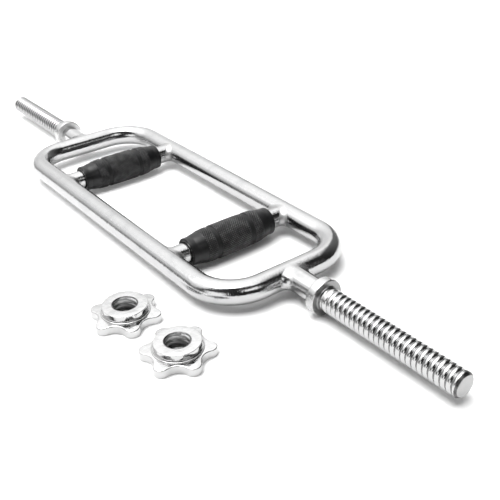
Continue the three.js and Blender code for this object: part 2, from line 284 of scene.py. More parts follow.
def crossbar(name, direction, material):
    """A round bar whose ends are shaped to the rails."""
    angle = ring_angles(BAR_COLUMNS)
    hollow = np.sqrt(BAR_RADIUS**2 - (CROSSBAR_RADIUS * np.sin(angle)) ** 2)
    reach = RAIL_Y - hollow - PIECE_GAP
    rings = [y_ring(reach * share, CROSSBAR_RADIUS, angle) for share in np.linspace(-1, 1, BAR_ROWS)]
    points, faces = capped(np.array(rings) + np.array([direction * CROSSBAR_X, AXIS_Y, AXIS_Z]))
    drawn = points[:, [1, 0, 2]]
    return piece(name + "_tube", points, faces, [material], "bar", [name], drawn=drawn)


def bead_rings(standing_radius, leg):
    """A weld bead round a bar that stands along +Y on a frame bar along X, as rings of points.
    The bead's toe and height wander a little, as a hand-laid bead does."""
    angle = ring_angles(BEAD_COLUMNS)
    waves = sum(height * np.sin(count * angle + phase) for count, height, phase in WAVES)
    reach = leg * (1 + WAVE_SHARE * waves)
    across, up = np.cos(angle), np.sin(angle)
    side_x, side_z = standing_radius * across, standing_radius * up
    start = np.arcsin(side_z / BAR_RADIUS)
    corner_y = BAR_RADIUS * np.cos(start)
    toe = np.clip(start + reach * up / BAR_RADIUS, -TOE_LIMIT, TOE_LIMIT)
    toe_x = (standing_radius + reach) * across
    toe_point = np.stack([toe_x, BAR_RADIUS * np.cos(toe), BAR_RADIUS * np.sin(toe)], axis=-1)
    corner = np.stack([side_x, corner_y, side_z], axis=-1)
    top_y = corner_y + reach * (BEAD_RISE_SHARE - BEAD_SIDE_SHARE * up**2)
    top = np.stack([side_x, top_y, side_z], axis=-1)
    rings = []
    for t in np.linspace(0, 1, BEAD_STEPS + 1):
        bulge = BEAD_BULGE_SHARE * math.sin(math.pi * t)
        curve = top * (1 - t) ** 2 + 2 * t * (1 - t) * corner + toe_point * t * t
        chord = top * (1 - t) + toe_point * t
        rings.append(curve + (chord - curve) * bulge)
    inner_top = top * np.array([BEAD_INNER_SHARE, 1, BEAD_INNER_SHARE])
    sunk_toe = toe_point * np.array([1, BEAD_INNER_SHARE, BEAD_INNER_SHARE])
    under = corner * np.array([BEAD_UNDER_SHARE, 1, BEAD_UNDER_SHARE]) - np.array([0, BEAD_SINK, 0])
    return np.array([inner_top] + rings + [sunk_toe, under])


def crossbar_weld(name, direction, side, material):
    """The bead between a crossbar and a rail."""
    rings = bead_rings(CROSSBAR_RADIUS, CROSSBAR_WELD_LEGS[side])
    centre = (direction * CROSSBAR_X, AXIS_Y + side * RAIL_Y, AXIS_Z)
    points, faces = looped(turned(rings, centre, 180 if side > 0 else 0))
    return piece(name + "_bead", points, faces, [material], "bar", [name])


def neck_weld(name, direction, material):
    """The bead between a rod and its end bar."""
    rings = bead_rings(ROD_RADIUS, NECK_WELD_LEG)
    centre = (direction * END_BAR_X, AXIS_Y, AXIS_Z)
    points, faces = looped(turned(rings, centre, -90 if direction > 0 else 90))
    return piece(name + "_bead", points, faces, [material], "bar", [name])


def thread_height(phase):
    """The height of a rolled thread over its root, from 0 to 1: a rounded crest with a faint seam
    along its middle, and a narrow groove."""
    off_centre = np.abs((phase - CREST_PLACE_SHARE + 0.5) % 1 - 0.5)
    rise = np.clip(1 - (off_centre / CREST_HALF_SHARE) ** CREST_CURVE, 0, 1)
    seam = SEAM_DEPTH_SHARE * np.exp(-((off_centre / SEAM_WIDTH_SHARE) ** 2))
    return rise - seam


def threaded_rod(name, direction, finishes):
    """The neck, the shank and a right-hand thread with a run-in, on a grid that follows the helix.
    The finishes are the rod's own, which paints shade in the thread grooves, the tip's, and the chamfer's,
    which is painted near black as a painted dark reflection."""
    angle = ring_angles(ROD_COLUMNS)
    length = ROD_END - SHANK_END
    turns = math.ceil(length / THREAD_PITCH) + 1
    rows = np.arange(-THREAD_STEPS, THREAD_STEPS * (turns + 1)) / THREAD_STEPS
    place = THREAD_PITCH * (rows[:, None] + (angle / (2 * math.pi))[None, :])
    along = np.clip(place, 0, length)
    spare = length - along
    fade = np.clip(along / RUN_IN, 0, 1) ** RUN_IN_CURVE * np.clip((spare - RUN_OUT_PLAIN) / RUN_OUT, 0, 1)
    depth = THREAD_DEPTH * (1 - thread_height(rows))[:, None] * fade
    chamfer = ROD_CHAMFER * np.maximum(0, 1 - spare / CHAMFER_LENGTH)
    radius = np.minimum(ROD_RADIUS - depth, ROD_RADIUS - chamfer)
    radius = np.where(place <= 0, ROD_RADIUS, np.where(place < length, radius, ROD_RADIUS - ROD_CHAMFER))
    points = x_ring(SHANK_END + along, radius, angle).reshape(-1, 3).tolist()
    # The relief, 1 at the bottom of a groove, sets where the rod's chrome paints shade
    relief = (depth / THREAD_DEPTH).ravel().tolist()

    index = np.arange(radius.size).reshape(radius.shape)
    after = np.roll(index, -1, axis=1)
    after[:-THREAD_STEPS, -1] = index[THREAD_STEPS:, 0]
    after[-THREAD_STEPS:, -1] = -1
    quads = np.stack([index[:-1], after[:-1], after[1:], index[1:]], axis=-1).reshape(-1, 4)
    faces = quads[(quads >= 0).all(axis=1)].tolist()

    base = len(points)
    root_x = END_BAR_X + np.sqrt(BAR_RADIUS**2 - (ROD_RADIUS * np.sin(angle)) ** 2) + PIECE_GAP
    for x in (root_x, FLANGE_BACK, FLANGE_FRONT):
        points += x_ring(x, ROD_RADIUS, angle).tolist()
    faces += [[base + v for v in face] for face in grid_faces(3, ROD_COLUMNS, False)]
    faces += bridge(base + 2 * ROD_COLUMNS, 0, ROD_COLUMNS)
    faces.append(list(range(base, base + ROD_COLUMNS))[::-1])

    tip = len(points)
    for share in TIP_SHARES:
        dish = TIP_DISH if share == TIP_SHARES[-1] else 0
        points += x_ring(ROD_END - dish, (ROD_RADIUS - ROD_CHAMFER) * share, angle).tolist()
    last = len(points) - ROD_COLUMNS
    for first in range(tip, last, ROD_COLUMNS):
        faces += bridge(first, first + ROD_COLUMNS, ROD_COLUMNS)
    faces.append(list(range(last, last + ROD_COLUMNS)))

    relief += [0] * (len(points) - len(relief))
    placed = turned(np.array(points), (0, AXIS_Y, AXIS_Z), 0 if direction > 0 else 180)
    shape = piece(name + "_steel", placed, faces, finishes, "bar", [name], relief=relief)
    # The tip gets the ground finish, and the chamfer is painted near black as a painted dark reflection
    for face in shape.data.polygons:
        from_end = ROD_END - abs(face.center.x) / MM
        if from_end < TIP_PAINT:
            face.material_index = 1
        elif from_end < CHAMFER_PAINT:
            face.material_index = 2
    return shape


def rounded_corner(x, r, radius, start):
    """Points of a quarter round from one angle, in degrees, through the next 90."""
    turns = np.radians(start + np.linspace(0, 90, ROUND_ROWS))
    return [(x + radius * math.cos(a), r + radius * math.sin(a)) for a in turns]


def flange(name, direction, finishes):
    """A turned ring with rounded edges, and a fillet where the rod leaves its front.
    The finishes are the rim's, the front's, which is painted dark as a painted reflection, and the back's,
    which is painted light as a painted reflection."""
    angle = ring_angles(FLANGE_COLUMNS)
    bore = ROD_RADIUS - FLANGE_SINK
    fillet_end = FLANGE_FRONT + FLANGE_FILLET
    profile = [(fillet_end, bore), (fillet_end, ROD_RADIUS + FILLET_TOE)]
    for turn in np.radians(np.linspace(HOLLOW_START, 90, ROUND_ROWS)):
        x = FLANGE_FRONT + FLANGE_FILLET * (1 - math.sin(turn))
        profile.append((x, ROD_RADIUS + FLANGE_FILLET * (1 - math.cos(turn))))
    edge_radius = FLANGE_RADIUS - FLANGE_EDGE
    profile += rounded_corner(FLANGE_FRONT - FLANGE_EDGE, edge_radius, FLANGE_EDGE, 0)
    profile += rounded_corner(FLANGE_BACK + FLANGE_EDGE, edge_radius, FLANGE_EDGE, 90)
    profile += [(FLANGE_BACK, FLANGE_RADIUS - BACK_BAND), (FLANGE_BACK, bore)]
    rings = np.array([x_ring(x, r, angle) for x, r in profile])
    points, faces = looped(turned(rings, (0, AXIS_Y, AXIS_Z), 0 if direction > 0 else 180))
    shape = piece(name + "_ring", points, faces, finishes, "bar", [name])
    # The front face is painted dark and the back face painted light, as painted reflections
    for face in shape.data.polygons:
        place = abs(face.center.x) / MM
        if place > FLANGE_FRONT - FRONT_PAINT:
            face.material_index = 1
        elif place < FLANGE_BACK + BACK_PAINT:
            face.material_index = 2
    return shape


def hatch(y, angle):
    """Fine crossed grooves that leave small raised diamonds, from 0 in a groove to 1 on a diamond."""
    pitch = HATCH_STRETCH * 2 * math.pi * GRIP_MIDDLE_RADIUS / HATCHES_AROUND
    along, around = y / pitch, angle * HATCHES_AROUND / (2 * math.pi)
    first = np.abs(((along + around) % 1) - 0.5) * 2
    second = np.abs(((along - around) % 1) - 0.5) * 2
    return np.clip((1 - np.maximum(first, second)) / GROOVE_SHARE, 0, 1)


def ring_band(share):
    """1 on the plain rings between the hatched bands and 0 elsewhere, by share of half the grip."""
    start, end = RING_SHARES
    return smooth_step(start, RING_SOFT_SHARE, share) - smooth_step(end, RING_SOFT_SHARE, share)


def hatched_band(share):
    """1 where the grip is hatched, in its middle and in a band on each side, and 0 elsewhere."""
    middle, start, end = (smooth_step(edge, HATCH_SOFT_SHARE, share) for edge in HATCH_SHARES)
    return 1 - middle + start - end


def grip_radius(y):
    """The grip's barrel shape with its plain rings and cuffs, before the hatching."""
    share = np.abs(y) / (GRIP_LENGTH / 2)
    taper = np.minimum(np.abs(y) / GRIP_TAPER, 1) ** GRIP_CURVE
    barrel = GRIP_MIDDLE_RADIUS - THIN_SKIN - (GRIP_MIDDLE_RADIUS - GRIP_END_RADIUS) * taper
    cuff = smooth_step(CUFF_SHARE, CUFF_SOFT_SHARE, share)
    return barrel - RING_DEPTH * ring_band(share) - CUFF_DEPTH * cuff


def grip(name, direction, material):
    """A moulded barrel round a crossbar, with fine hatching and a rounded rim at each end."""
    half = GRIP_LENGTH / 2
    inner = half - GRIP_RIM
    angle = ring_angles(GRIP_COLUMNS)
    ys = np.linspace(-inner, inner, GRIP_ROWS)
    share = np.abs(ys) / half
    hatched = hatched_band(share)[:, None]
    diamonds = hatch(ys[:, None], angle[None, :])
    radius = grip_radius(ys)[:, None] + HATCH_DEPTH * (diamonds - 1) * hatched
    relief = (2 * diamonds - 1) * hatched + RING_RELIEF * ring_band(share)[:, None]
    rings = [y_ring(y, r, angle) for y, r in zip(ys, radius)]
    rim = float(grip_radius(inner)) - GRIP_RIM
    turns = np.linspace(0, math.pi / 2, RIM_STEPS + 1)[1:]
    ends = [(inner + GRIP_RIM * math.sin(turn), rim + GRIP_RIM * math.cos(turn)) for turn in turns]
    ends.append((half, rim - RIM_FLAT))
    ends.append((half - MOUTH_DEPTH, CROSSBAR_RADIUS + MOUTH_ROOM))
    ends.append((half - BORE_START, CROSSBAR_RADIUS - BORE_SINK))
    for place, r in ends:
        rings.append(y_ring(place, r, angle))
        rings.insert(0, y_ring(-place, r, angle))
    centre = (direction * CROSSBAR_X, AXIS_Y - GRIP_SHIFTS[name], AXIS_Z)
    points, faces = looped(np.array(rings) + np.array(centre))
    edge = np.zeros((len(ends), GRIP_COLUMNS))
    heights = np.concatenate([edge, relief, edge]).ravel()
    finishes = [material]
    return piece(
        name + "_rubber", points, faces, finishes, "bar", [name], GRIP_CREASE, relief=heights
    )


def star_outline():
    """The star's outline and its outward normals, as round lobes with a hollow arc between each two."""
    centre = STAR_RADIUS - LOBE_RADIUS
    step = math.pi / LOBES
    across = 2 * centre * math.cos(step)
    rise = centre**2 + STAR_HOLLOW_RADIUS**2 - across * STAR_HOLLOW_RADIUS - LOBE_RADIUS**2
    hollow_radius = rise / (2 * LOBE_RADIUS - 2 * STAR_HOLLOW_RADIUS + across)
    hollow_centre = STAR_HOLLOW_RADIUS + hollow_radius
    meet = math.atan2(hollow_centre * math.sin(step), hollow_centre * math.cos(step) - centre)
    points, normals = [], []
    for i in range(LOBES):
        turn = 2 * step * i
        for j in range(-LOBE_STEPS, LOBE_STEPS + 1):
            a = turn + meet * j / LOBE_STEPS
            normal = (math.cos(a), math.sin(a))
            x = centre * math.cos(turn) + LOBE_RADIUS * normal[0]
            y = centre * math.sin(turn) + LOBE_RADIUS * normal[1]
            points.append((x, y))
            normals.append(normal)
        for j in range(1 - HOLLOW_STEPS, HOLLOW_STEPS):
            a = turn + step + math.pi - (meet - step) * j / HOLLOW_STEPS
            normal = (-math.cos(a), -math.sin(a))
            x = hollow_centre * math.cos(turn + step) - hollow_radius * normal[0]
            y = hollow_centre * math.sin(turn + step) - hollow_radius * normal[1]
            points.append((x, y))
            normals.append(normal)
    return np.array(points), np.array(normals)


def collar(name, finishes):
    """A star with rounded edges, a hub with a lip at its foot, and a threaded bore.
    The finishes are the casting's, the bore's, which has painted shade deep down, and its mouth's, which is
    painted near black as a painted dark reflection."""
    outline, normals = star_outline()
    angle = np.arctan2(outline[:, 1], outline[:, 0])
    heading = np.stack([np.cos(angle), np.sin(angle)], axis=-1)

    def star_row(inset, z):
        """The outline, drawn in a little, at a height."""
        return np.concatenate([outline - normals * inset, np.full((len(outline), 1), z)], axis=1)

    def round_row(r, z):
        """A ring with as many points as the outline, at a height."""
        return np.concatenate([heading * np.reshape(r, (-1, 1)), np.full((len(outline), 1), z)], axis=1)

    def thread_row(z):
        """A ring of the bore's thread, which its rounded mouth cuts away at the top."""
        groove = thread_height((z / THREAD_PITCH - angle / (2 * math.pi) + BORE_THREAD_TURN) % 1)
        left = max(0, 1 - (HUB_TOP - z) / MOUTH_DROP)
        mouth = BORE_MOUTH - (BORE_MOUTH - BORE_RADIUS) * math.sqrt(1 - left**2)
        return round_row(np.maximum(BORE_RADIUS + BORE_DEPTH * (1 - groove), mouth), z)

    turns = np.radians(np.linspace(0, 90, ROUND_ROWS))
    bore_foot = round_row(BORE_RADIUS + BORE_FOOT_ROOM, 0)
    rows = [bore_foot]
    for share in STAR_FOOT_SHARES:
        rows.append((1 - share) * bore_foot + share * star_row(STAR_FOOT_EDGE, 0))
    for a in turns:
        rows.append(star_row(STAR_FOOT_EDGE * (1 - math.sin(a)), STAR_FOOT_EDGE * (1 - math.cos(a))))

    top_rows = [star_row(STAR_EDGE * (1 - math.cos(a)), -STAR_EDGE * (1 - math.sin(a))) for a in turns]
    lip_foot = round_row(LIP_RADIUS + LIP_BEAD, 0)
    for share in STAR_TOP_SHARES:
        top_rows.append((1 - share) * star_row(STAR_EDGE, 0) + share * lip_foot)
    top_rows.append(lip_foot)
    for row in top_rows:
        reach = np.hypot(row[:, 0], row[:, 1]) - LIP_RADIUS
        row[:, 2] += STAR_THICKNESS - STAR_FALL * np.clip(reach / (STAR_RADIUS - LIP_RADIUS), 0, 1)
    rows += top_rows

    for a in np.radians(np.linspace(*LIP_TURN, LIP_ROWS)):
        z = STAR_THICKNESS + LIP_RISE + LIP_BEAD * math.sin(a)
        rows.append(round_row(LIP_RADIUS + LIP_BEAD * math.cos(a), z))
    rows += [round_row(HUB_RADIUS, STAR_THICKNESS + HUB_FOOT), round_row(HUB_RADIUS, HUB_TOP - HUB_EDGE)]
    for a in turns[1:]:
        z = HUB_TOP - HUB_EDGE * (1 - math.sin(a))
        rows.append(round_row(HUB_RADIUS - HUB_EDGE * (1 - math.cos(a)), z))
    rows += [round_row(HUB_TOP_BAND, HUB_TOP), round_row(BORE_MOUTH, HUB_TOP)]
    mouth_turns = np.radians(np.linspace(HOLLOW_START, 90, MOUTH_ROWS))
    mouth_drops = MOUTH_DROP * (1 - np.cos(mouth_turns))
    rows += [thread_row(HUB_TOP - drop) for drop in mouth_drops]
    rows += [thread_row(z) for z in np.linspace(HUB_TOP - MOUTH_DROP - MOUTH_STEP, BORE_FOOT, BORE_ROWS)]

    x, y, degrees = COLLARS[name]
    centre = (x, AXIS_Y + y, 0)
    points, faces = looped(turned(np.array(rows), centre, degrees))
    shape = piece(name + "_casting", points, faces, finishes, name, [name], COLLAR_CREASE)
    # The bore gets steel with painted shade deep down, and the mouth is painted near black as a painted dark
    # reflection
    for face in shape.data.polygons:
        from_axis = face.center / MM - Vector(centre)
        if from_axis.xy.length < BORE_MOUTH - MOUTH_EDGE:
            face.material_index = 2 if from_axis.z > HUB_TOP - MOUTH_DROP else 1
    return shape


# Noise of the materials in waves per metre, where three are along, across and up the straight bar
CLOUD_WAVES, SMUDGE_WAVES, RIPPLE_WAVES = 34, 140, 120
LINE_WAVES, MARK_WAVES = (30, 620, 620), (820, 330, 330)
OIL_WAVES = 320
RUBBER_CLOUD_WAVES, RUBBED_AND_SHEEN_WAVES, RUBBER_SMUDGE_WAVES = 75, 110, 160
UNEVEN_WAVES, SKIN_WAVES = 90, 1300

# Depths of the bumps in the dull steel and the rubber, in millimetres
OIL_DEPTH, UNEVEN_DEPTH, SKIN_DEPTH = 0.03, 0.15, 0.06

# Tones of the materials
CLOUD_DIM = 0.96
# Painted shade in a thread's grooves: its grey, its roughness and how softly it starts
GROOVE_PAINTED_SHADE, GROOVE_SHADE_POLISH, GROOVE_SHADE_SOFT = 0.02, 0.4, 0.4
# Painted shade deep in a collar's bore: its grey, and how softly it fades, in millimetres
BORE_SHADE, BORE_SHADE_SOFT = 0.06, 8
RUBBER_DARK, RUBBER_LIGHT = (0.0035, 0.0035, 0.0038, 1), (0.009, 0.009, 0.0095, 1)
# Diamond tops are lighter for wear and a painted sheen; grooves and rings get painted near-black shade
RUBBED_AND_SHEEN_SHADE, SUNK_PAINTED_SHADE, SUNK_GAIN = (0.085, 0.085, 0.086, 1), 0.0012, -1.5


def node(tree, kind, **values):
    """A shader node with its settings."""
    made = tree.nodes.new(kind)
    for key, value in values.items():
        setattr(made, key, value)
    return made


def feed(tree, socket, value):
    """Sets a socket to a value, or links it to another socket."""
    if isinstance(value, (int, float, tuple)):
        socket.default_value = value
    else:
        tree.links.new(value, socket)


def grey(value):
    """A neutral colour."""
    return (value, value, value, 1)


def noise(tree, place, scale, detail, roughness=0.55):
    """Noise from 0 to 1, with its scale in waves per metre."""
    made = node(tree, "ShaderNodeTexNoise")
    made.inputs["Scale"].default_value = scale
    made.inputs["Detail"].default_value = detail
    made.inputs["Roughness"].default_value = roughness
    feed(tree, made.inputs["Vector"], place)
    return made.outputs["Fac"]


def ramp(tree, fac, stops, interpolation="EASE"):
    """A colour ramp from stops of place and grey or colour."""
    made = node(tree, "ShaderNodeValToRGB")
    made.color_ramp.interpolation = interpolation
    parts = made.color_ramp.elements
    while len(parts) < len(stops):
        parts.new(0.5)
    for part, (place, shade) in zip(parts, stops):
        part.position = place
        part.color = shade if isinstance(shade, tuple) else grey(shade)
    feed(tree, made.inputs["Fac"], fac)
    return made.outputs["Color"]


def maths(tree, operation, first, second=0.0):
    """The result of a sum on one or two values."""
    made = node(tree, "ShaderNodeMath", operation=operation)
    feed(tree, made.inputs[0], first)
    feed(tree, made.inputs[1], second)
    return made.outputs["Value"]


def bump(tree, height, depth, normal=None):
    """A bumped normal, with the depth in millimetres."""
    made = node(tree, "ShaderNodeBump")
    made.inputs["Distance"].default_value = depth * MM
    feed(tree, made.inputs["Height"], height)
    if normal is not None:
        feed(tree, made.inputs["Normal"], normal)
    return made.outputs["Normal"]


def blend(tree, fac, low, high, kind="FLOAT"):
    """A mix of two values, or of two colours when the kind is RGBA."""
    made = node(tree, "ShaderNodeMix", data_type=kind)
    feed(tree, made.inputs["Factor"], fac)
    feed(tree, made.inputs["A"], low)
    feed(tree, made.inputs["B"], high)
    return made.outputs["Result"]


def smooth_mask(tree, value, edge, width):
    """Rises smoothly from 0 to 1 as a value passes an edge."""
    made = node(tree, "ShaderNodeMapRange", interpolation_type="SMOOTHSTEP")
    made.inputs["From Min"].default_value = -width / 2
    made.inputs["From Max"].default_value = width / 2
    feed(tree, made.inputs["Value"], maths(tree, "SUBTRACT", value, edge))
    return made.outputs["Result"]


def split_axes(tree, place):
    """The X, Y and Z of a place."""
    split = node(tree, "ShaderNodeSeparateXYZ")
    feed(tree, split.inputs["Vector"], place)
    return split.outputs


def new_material(name):
    """A material with its node tree, its shader and the place on the object."""
    material = bpy.data.materials.new(name)
    material.use_nodes = True
    tree = material.node_tree
    place = node(tree, "ShaderNodeTexCoord").outputs["Object"]
    return material, tree, tree.nodes["Principled BSDF"], place


def drawn_place(tree, stretch):
    """The place on the straightened bar, stretched along, across and up."""
    mapping = node(tree, "ShaderNodeMapping")
    mapping.inputs["Scale"].default_value = stretch
    drawn = node(tree, "ShaderNodeAttribute", attribute_name="drawn")
    feed(tree, mapping.inputs["Vector"], drawn.outputs["Vector"])
    return mapping.outputs["Vector"]


def chrome(name, light, dark, polish, ripple, marks, lines, painted_groove_shade=0.0, painted_shade_edge=0.75):
    """Chrome plate: clouded grey, a polish that runs between two roughnesses, a slightly uneven
    surface, grinding marks round the bar, faint lines along it, and painted shade, darker and
    rougher, in the hollows of a thread. Ripple, marks and lines are depths in millimetres, and the
    painted shade starts where the relief passes its edge."""
    material, tree, shader, place = new_material(name)
    dimmed = (*(CLOUD_DIM * part for part in light[:3]), 1)
    clouds = noise(tree, place, CLOUD_WAVES, 5)
    tint = ramp(tree, clouds, [(0.3, dimmed), (0.5, light), (0.72, dark)])
    smudges = noise(tree, place, SMUDGE_WAVES, 6, 0.65)
    roughness = ramp(tree, smudges, [(0.35, polish[0]), (0.7, polish[1])])
    if painted_groove_shade:
        # Painted shade: the deep parts of a thread's grooves are painted darker and rougher
        hollow = node(tree, "ShaderNodeAttribute", attribute_name="relief").outputs["Fac"]
        dull = maths(tree, "MULTIPLY", smooth_mask(tree, hollow, painted_shade_edge, GROOVE_SHADE_SOFT), painted_groove_shade)
        tint = blend(tree, dull, tint, grey(GROOVE_PAINTED_SHADE), "RGBA")
        roughness = blend(tree, dull, roughness, GROOVE_SHADE_POLISH)
    feed(tree, shader.inputs["Base Color"], tint)
    feed(tree, shader.inputs["Metallic"], 1)
    feed(tree, shader.inputs["Roughness"], roughness)
    broad = bump(tree, noise(tree, place, RIPPLE_WAVES, 3), ripple)
    along = bump(tree, noise(tree, drawn_place(tree, LINE_WAVES), 1, 3), lines, broad)
    around = bump(tree, noise(tree, drawn_place(tree, MARK_WAVES), 1, 3, 0.6), marks, along)
    feed(tree, shader.inputs["Normal"], around)
    return material


def dull_steel(name, low, high, painted_shade_below=None):
    """Dull, oily steel between two greys, as inside a collar's bore, with painted shade below a height if
    given.
    """
    material, tree, shader, place = new_material(name)
    oil = noise(tree, place, OIL_WAVES, 5, 0.6)
    tint = ramp(tree, oil, [(0.3, low), (0.7, high)])
    # Painted shade: the steel is painted darker below the given height, deep in the bore
    if painted_shade_below:
        lit = smooth_mask(tree, split_axes(tree, place)["Z"], painted_shade_below * MM, BORE_SHADE_SOFT * MM)
        tint = blend(tree, lit, grey(BORE_SHADE), tint, "RGBA")
    feed(tree, shader.inputs["Base Color"], tint)
    feed(tree, shader.inputs["Metallic"], 1)
    feed(tree, shader.inputs["Roughness"], ramp(tree, oil, [(0.3, 0.28), (0.7, 0.38)]))
    feed(tree, shader.inputs["Normal"], bump(tree, oil, OIL_DEPTH))
    return material


def rubber(name):
    """Moulded black rubber: a fine skin, raised hatching lighter grey on its tops for wear and a painted
    sheen, and painted shade in its grooves and rings.
    The relief is 1 on a diamond, 0 on the plain cuffs and below 0 in a groove or a ring."""
    material, tree, shader, place = new_material(name)
    clouds = noise(tree, place, RUBBER_CLOUD_WAVES, 6, 0.6)
    skin_tint = ramp(tree, clouds, [(0.35, RUBBER_DARK), (0.7, RUBBER_LIGHT)])
    height = node(tree, "ShaderNodeAttribute", attribute_name="relief").outputs["Fac"]
    # Diamond tops are painted lighter in random patches, for wear and as a painted sheen
    rubbed_and_sheen = ramp(tree, noise(tree, place, RUBBED_AND_SHEEN_WAVES, 4, 0.6), [(0.4, 0.1), (0.6, 1.0)])
    wear_and_sheen = maths(tree, "MULTIPLY", maths(tree, "MAXIMUM", height, 0), rubbed_and_sheen)
    # Painted shade: grooves and rings are painted near black
    depth = maths(tree, "MULTIPLY", height, SUNK_GAIN)
    sunk = maths(tree, "MINIMUM", maths(tree, "MAXIMUM", depth, 0), 1)
    tops = blend(tree, wear_and_sheen, skin_tint, RUBBED_AND_SHEEN_SHADE, "RGBA")
    feed(tree, shader.inputs["Base Color"], blend(tree, sunk, tops, grey(SUNK_PAINTED_SHADE), "RGBA"))
    skin_polish = ramp(tree, noise(tree, place, RUBBER_SMUDGE_WAVES, 5, 0.65), [(0.3, 0.32), (0.7, 0.42)])
    feed(tree, shader.inputs["Roughness"], blend(tree, sunk, skin_polish, 1.0))
    feed(tree, shader.inputs["Specular IOR Level"], 0.32)
    uneven = bump(tree, noise(tree, place, UNEVEN_WAVES, 3), UNEVEN_DEPTH)
    skin = bump(tree, noise(tree, place, SKIN_WAVES, 3), SKIN_DEPTH, uneven)
    feed(tree, shader.inputs["Normal"], skin)
    return material


# The studio, in degrees: a bright room, a dark near side, and cards that show only in reflections
SKY_WHITE, BACK_GREY = 2.52, 1.45
SKY_EDGE, SKY_SOFT = 32, 24
KEY_WHITE = 12.0
KEY_TOWARDS = (-0.16, -0.16, 0.97)
KEY_SPREAD = (17, 24)
FLOOR_WHITE, PLAIN_WHITE = 1.45, 1.35
TOP_SOFT, HORIZON_SOFT = 4, 0.2

# Height of the dark side's upper edge, by azimuth
DARK_TOPS = [
    (-180, 0), (-134, 0), (-126, 8), (-105, 25), (-98, 35), (-90, 48), (-75, 62), (-45, 69), (0, 68),
    (25, 61), (45, 58), (60, 57.5), (85, 57), (105, 51), (115, 45), (122, 35), (127, 15), (131, 0), (180, 0),
]

# Brightness of the dark side, by azimuth
DARK_LEVELS = [
    (-180, 0.55), (-126, 0.55), (-108, 0.45), (-98, 0.11), (-45, 0.08), (-36, 0.045), (28, 0.04),
    (42, 0.035), (62, 0.05), (90, 0.18), (120, 0.36), (180, 0.36),
]

# Cards as azimuths, elevations, soft width of each and brightness
CARDS = [
    ((-15, 20), (28, 46), 5, 4, 2.4),
    ((-90, -52), (-4, 25), 6, 5, 2.2),
    ((30, 33.5), (11, 39), 2, 5, 0.7),
    ((-172, -140), (-5, 13), 4, 5, 0.78),
    ((-141, -124), (-6, 15), 3, 6, 0.42),
    ((-156, -130), (31, 52), 5, 5, 2.9),
    ((-135, -131), (-30, 12), 2, 8, 0.1),
    ((136.5, 140.5), (-30, 15), 2, 8, 0.1),
]


def patch(tree, azimuth, elevation, az_range, el_range, soft_az, soft_el):
    """A soft-edged rectangle of sky, 1 inside and 0 outside."""
    inside = smooth_mask(tree, azimuth, az_range[0], soft_az)
    sides = [
        maths(tree, "SUBTRACT", 1, smooth_mask(tree, azimuth, az_range[1], soft_az)),
        smooth_mask(tree, elevation, el_range[0], soft_el),
        maths(tree, "SUBTRACT", 1, smooth_mask(tree, elevation, el_range[1], soft_el)),
    ]
    for side in sides:
        inside = maths(tree, "MULTIPLY", inside, side)
    return inside


def round_table(tree, around, table, full):
    """The value that a table of azimuths gives, as a share of its full value."""
    return ramp(tree, around, [((az + 180) / 360, value / full) for az, value in table], "LINEAR")


def studio():
    """The world: what the part mirrors, and a plain white background for the camera."""
    world = bpy.data.worlds.new("studio")
    scene.world = world
    world.use_nodes = True
    tree = world.node_tree
    tree.nodes.clear()
    place = node(tree, "ShaderNodeTexCoord").outputs["Generated"]
    x, y, z = split_axes(tree, place)
    azimuth = maths(tree, "MULTIPLY", maths(tree, "ARCTAN2", y, x), 180 / math.pi)
    elevation = maths(tree, "MULTIPLY", maths(tree, "ARCSINE", z), 180 / math.pi)
    around = maths(tree, "DIVIDE", maths(tree, "ADD", azimuth, 180), 360)
    top = maths(tree, "MULTIPLY", round_table(tree, around, DARK_TOPS, 90), 90)
    level = round_table(tree, around, DARK_LEVELS, 1)
    bright = blend(tree, smooth_mask(tree, elevation, SKY_EDGE, SKY_SOFT), BACK_GREY, SKY_WHITE)
    towards = node(tree, "ShaderNodeVectorMath", operation="DOT_PRODUCT")
    feed(tree, towards.inputs[0], place)
    feed(tree, towards.inputs[1], tuple(Vector(KEY_TOWARDS).normalized()))
    inner, outer = (math.cos(math.radians(spread)) for spread in KEY_SPREAD)
    key = smooth_mask(tree, towards.outputs["Value"], (inner + outer) / 2, inner - outer)
    bright = blend(tree, key, bright, KEY_WHITE)
    sky = blend(tree, smooth_mask(tree, elevation, top, TOP_SOFT), level, bright)
    rays = node(tree, "ShaderNodeLightPath").outputs
    glossy = maths(tree, "SUBTRACT", 1, rays["Is Diffuse Ray"])
    for az_range, el_range, soft_az, soft_el, value in CARDS:
        card = patch(tree, azimuth, elevation, az_range, el_range, soft_az, soft_el)
        sky = blend(tree, maths(tree, "MULTIPLY", card, glossy), sky, value)
    sky = blend(tree, smooth_mask(tree, elevation, 0, HORIZON_SOFT), FLOOR_WHITE, sky)
    lit = node(tree, "ShaderNodeBackground")
    feed(tree, lit.inputs["Strength"], sky)
    plain = node(tree, "ShaderNodeBackground")
    feed(tree, plain.inputs["Strength"], PLAIN_WHITE)
    mixed = node(tree, "ShaderNodeMixShader")
    feed(tree, mixed.inputs["Fac"], rays["Is Camera Ray"])
    feed(tree, mixed.inputs[1], lit.outputs["Background"])
    feed(tree, mixed.inputs[2], plain.outputs["Background"])
    output = node(tree, "ShaderNodeOutputWorld")
    feed(tree, output.inputs["Surface"], mixed.outputs["Shader"])


# The floor, in metres: half its width, its grey, and a faint glow along X towards the far end
FLOOR_HALF = 30.0
FLOOR_SHADE = 0.85
FLOOR_GLOW = [(-0.5, 0.26), (-0.15, 0.17), (0.05, 0.06), (0.2, 0.0)]
GLOW_START = -0.5


